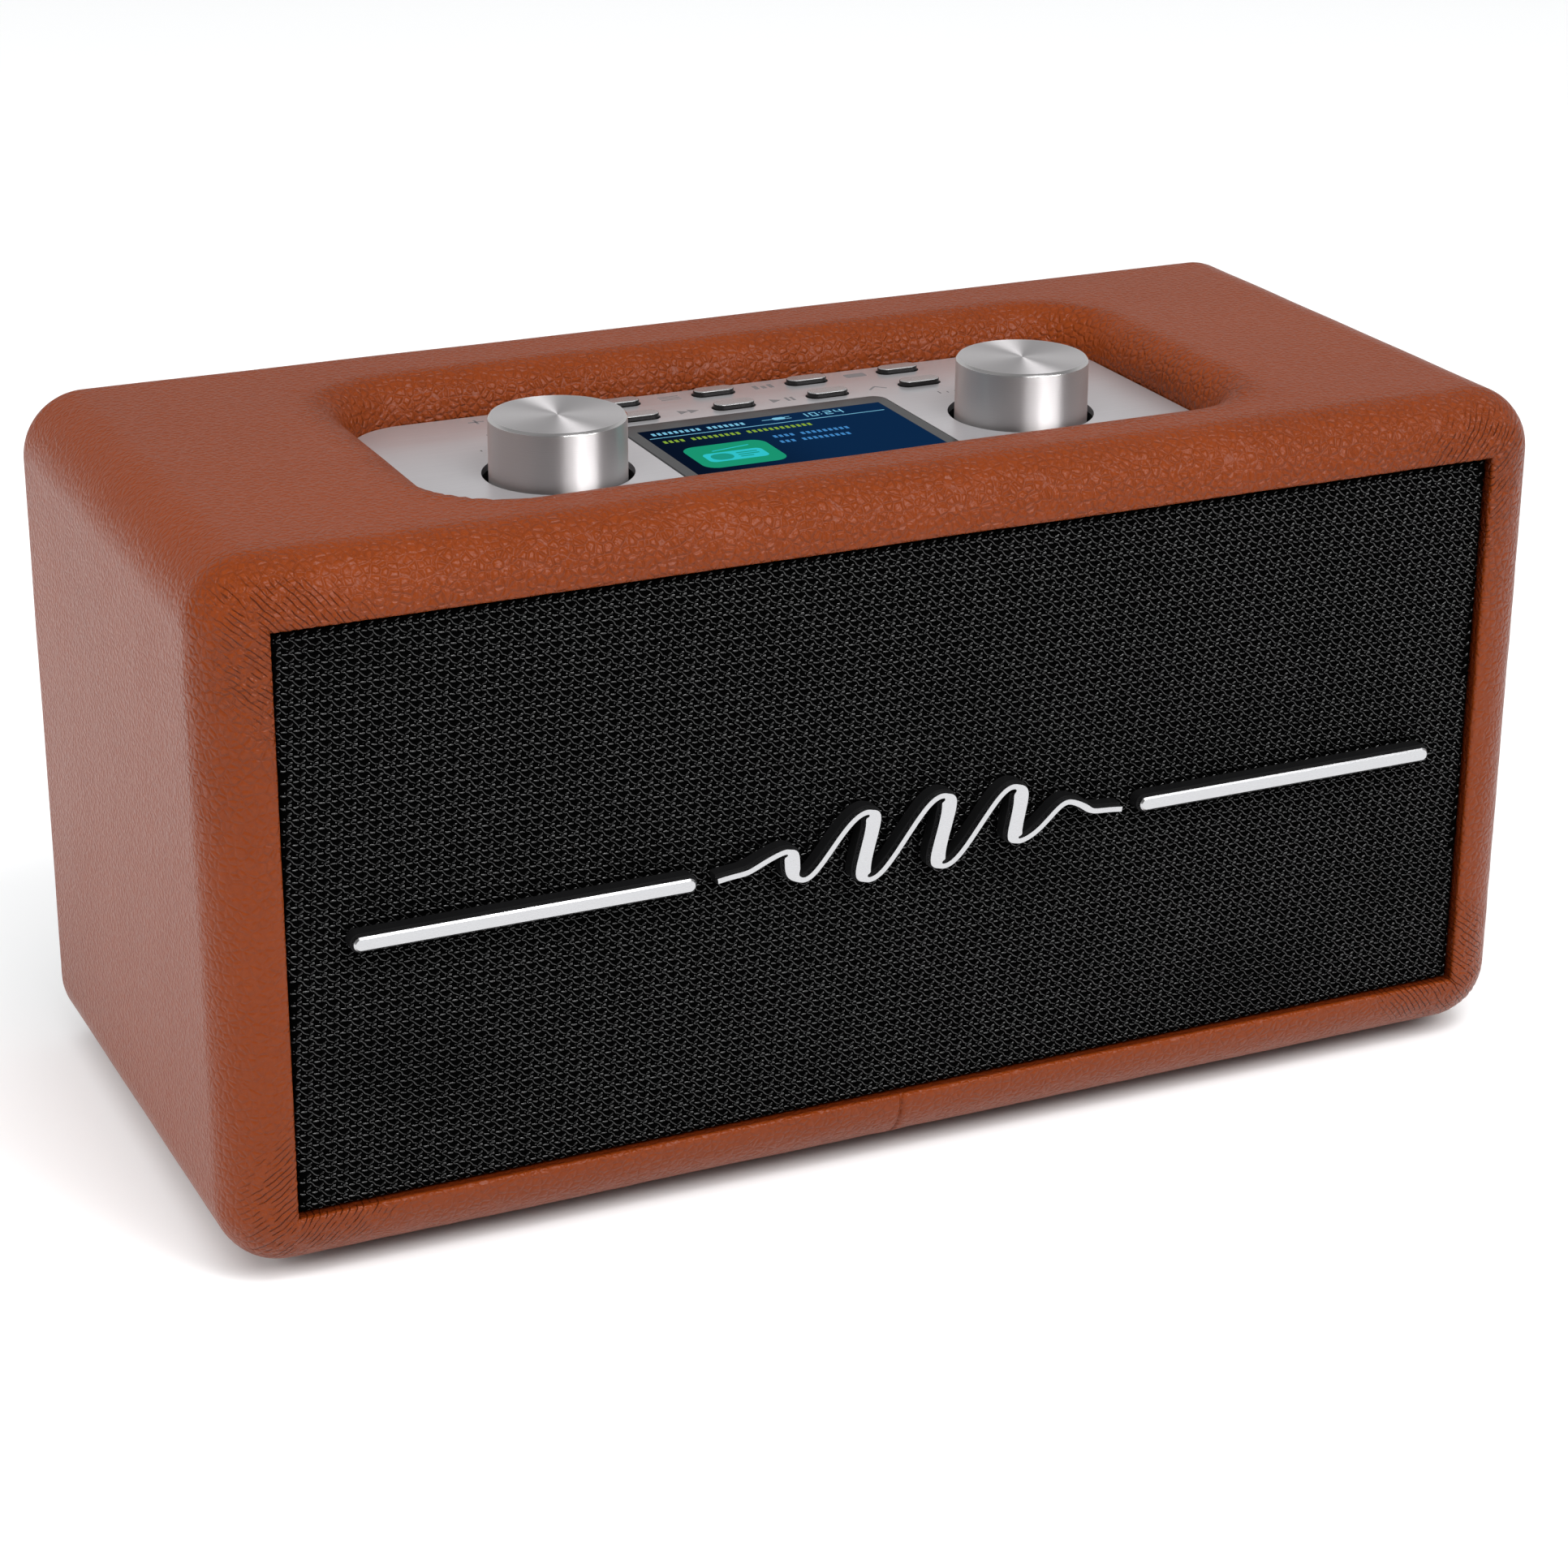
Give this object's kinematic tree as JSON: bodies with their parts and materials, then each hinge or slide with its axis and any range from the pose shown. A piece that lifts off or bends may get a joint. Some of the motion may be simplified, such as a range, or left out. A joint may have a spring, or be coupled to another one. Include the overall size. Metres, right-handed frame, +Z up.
{
  "type": "leather portable radio",
  "caption": "Leather-covered box radio with a woven black grille, sunken metal control panel with knobs, buttons and a display, and a whip aerial behind.",
  "frame": {"origin": "middle of the whole object's footprint, on the surface that its feet stand on", "axes": "+X along the front to the right as seen from the front, +Y from front to back, +Z up"},
  "size_m": [0.3, 0.1442, 0.155],
  "materials": {
    "wood": "raw MDF",
    "leather": "pebbled, semi-gloss",
    "cloth": "woven, glossy thread",
    "black_plastic": "fine texture",
    "gloss_black": "gloss",
    "bright_trim": "satin",
    "brushed_aluminium": "brushed",
    "turned_aluminium": "spun top, brushed side",
    "steel": "satin",
    "chrome": "polished",
    "rubber": "matt",
    "paper": "pressed fibre",
    "copper": "enamelled wire",
    "board": "solder mask",
    "screen": "gloss",
    "battery_wrap": "shrink wrap"
  },
  "bodies": {
    "cabinet": {"cabinet_shell": "wood", "leather_wrap": "leather", "rubber_feet": "rubber", "front_baffle": "wood", "grille_frame": "black_plastic", "grille_cloth": "cloth", "emblem_base": "gloss_black", "emblem_face": "bright_trim", "bar_bases": "gloss_black", "bar_faces": "bright_trim", "control_plate": "brushed_aluminium", "panel_tray": "black_plastic", "display_window": "gloss_black", "lcd_module": "screen", "control_board": "board", "tact_switches": "black_plastic", "encoder_nuts": "steel", "back_panel": "black_plastic", "bass_port": "gloss_black", "main_board": "board", "power_inlet": "gloss_black", "aux_jack": "gloss_black", "switch_housing": "black_plastic", "battery_pack": "battery_wrap", "screws": "steel", "left_basket": "steel", "left_magnet": "steel", "left_surround": "rubber", "left_spider": "paper", "right_basket": "steel", "right_magnet": "steel", "right_surround": "rubber", "right_spider": "paper", "volume_encoder": "steel", "tuning_encoder": "steel"},
    "button_1": {"button_1": "brushed_aluminium"},
    "button_2": {"button_2": "brushed_aluminium"},
    "button_3": {"button_3": "brushed_aluminium"},
    "button_4": {"button_4": "brushed_aluminium"},
    "button_5": {"button_5": "brushed_aluminium"},
    "button_6": {"button_6": "brushed_aluminium"},
    "button_7": {"button_7": "brushed_aluminium"},
    "button_8": {"button_8": "brushed_aluminium"},
    "button_9": {"button_9": "brushed_aluminium"},
    "button_10": {"button_10": "brushed_aluminium"},
    "volume_plunger": {"volume_plunger": "black_plastic"},
    "volume_knob": {"volume_shaft": "steel", "volume_knob": "turned_aluminium"},
    "tuning_plunger": {"tuning_plunger": "black_plastic"},
    "tuning_knob": {"tuning_shaft": "steel", "tuning_knob": "turned_aluminium"},
    "left_cone": {"left_diaphragm": "paper", "left_voice_coil": "copper"},
    "right_cone": {"right_diaphragm": "paper", "right_voice_coil": "copper"},
    "power_rocker": {"power_rocker": "gloss_black"},
    "antenna_knuckle": {"antenna_knuckle": "chrome"},
    "antenna_outer": {"antenna_outer": "chrome"},
    "antenna_middle": {"antenna_middle": "chrome"},
    "antenna_tip": {"antenna_tip": "chrome"}
  },
  "joints": [
    {"name": "button_1_press", "type": "slide", "parent": "cabinet", "child": "button_1", "axis": [0, 0, -1], "range_m": [0, 0.0008], "stiffness_N_per_m": 400, "springref_m": -0.0008},
    {"name": "button_2_press", "type": "slide", "parent": "cabinet", "child": "button_2", "axis": [0, 0, -1], "range_m": [0, 0.0008], "stiffness_N_per_m": 400, "springref_m": -0.0008},
    {"name": "button_3_press", "type": "slide", "parent": "cabinet", "child": "button_3", "axis": [0, 0, -1], "range_m": [0, 0.0008], "stiffness_N_per_m": 400, "springref_m": -0.0008},
    {"name": "button_4_press", "type": "slide", "parent": "cabinet", "child": "button_4", "axis": [0, 0, -1], "range_m": [0, 0.0008], "stiffness_N_per_m": 400, "springref_m": -0.0008},
    {"name": "button_5_press", "type": "slide", "parent": "cabinet", "child": "button_5", "axis": [0, 0, -1], "range_m": [0, 0.0008], "stiffness_N_per_m": 400, "springref_m": -0.0008},
    {"name": "button_6_press", "type": "slide", "parent": "cabinet", "child": "button_6", "axis": [0, 0, -1], "range_m": [0, 0.0008], "stiffness_N_per_m": 400, "springref_m": -0.0008},
    {"name": "button_7_press", "type": "slide", "parent": "cabinet", "child": "button_7", "axis": [0, 0, -1], "range_m": [0, 0.0008], "stiffness_N_per_m": 400, "springref_m": -0.0008},
    {"name": "button_8_press", "type": "slide", "parent": "cabinet", "child": "button_8", "axis": [0, 0, -1], "range_m": [0, 0.0008], "stiffness_N_per_m": 400, "springref_m": -0.0008},
    {"name": "button_9_press", "type": "slide", "parent": "cabinet", "child": "button_9", "axis": [0, 0, -1], "range_m": [0, 0.0008], "stiffness_N_per_m": 400, "springref_m": -0.0008},
    {"name": "button_10_press", "type": "slide", "parent": "cabinet", "child": "button_10", "axis": [0, 0, -1], "range_m": [0, 0.0008], "stiffness_N_per_m": 400, "springref_m": -0.0008},
    {"name": "volume_push", "type": "slide", "parent": "cabinet", "child": "volume_plunger", "axis": [0, 0, -1], "range_m": [0, 0.0006], "stiffness_N_per_m": 1500, "springref_m": -0.001},
    {"name": "volume_turn", "type": "hinge", "parent": "volume_plunger", "child": "volume_knob", "pos_m": [-0.0543, -0.00817, 0.15], "axis": [0, 0, 1], "continuous": true},
    {"name": "tuning_push", "type": "slide", "parent": "cabinet", "child": "tuning_plunger", "axis": [0, 0, -1], "range_m": [0, 0.0006], "stiffness_N_per_m": 1500, "springref_m": -0.001},
    {"name": "tuning_turn", "type": "hinge", "parent": "tuning_plunger", "child": "tuning_knob", "pos_m": [0.0543, -0.00817, 0.15], "axis": [0, 0, 1], "continuous": true},
    {"name": "left_cone_stroke", "type": "slide", "parent": "cabinet", "child": "left_cone", "axis": [0, -1, 0], "range_m": [-0.0015, 0.0015], "stiffness_N_per_m": 1500, "deforming": ["left_surround", "left_spider"]},
    {"name": "right_cone_stroke", "type": "slide", "parent": "cabinet", "child": "right_cone", "axis": [0, -1, 0], "range_m": [-0.0015, 0.0015], "stiffness_N_per_m": 1500, "deforming": ["right_surround", "right_spider"]},
    {"name": "power_rocker_tilt", "type": "hinge", "parent": "cabinet", "child": "power_rocker", "pos_m": [0.032, 0.05693, 0.038], "axis": [0, 0, 1], "range_deg": [0, 16]},
    {"name": "antenna_swivel", "type": "hinge", "parent": "cabinet", "child": "antenna_knuckle", "pos_m": [0.112, 0.06413, 0.12], "axis": [0, 1, 0], "range_deg": [-10, 190]},
    {"name": "antenna_tilt", "type": "hinge", "parent": "antenna_knuckle", "child": "antenna_outer", "pos_m": [0.112, 0.06863, 0.12], "axis": [0, 0, -1], "range_deg": [0, 90]},
    {"name": "antenna_middle_draw", "type": "slide", "parent": "antenna_outer", "child": "antenna_middle", "axis": [-1, 0, 0], "range_m": [0, 0.125]},
    {"name": "antenna_tip_draw", "type": "slide", "parent": "antenna_middle", "child": "antenna_tip", "axis": [-1, 0, 0], "range_m": [0, 0.115]}
  ]
}
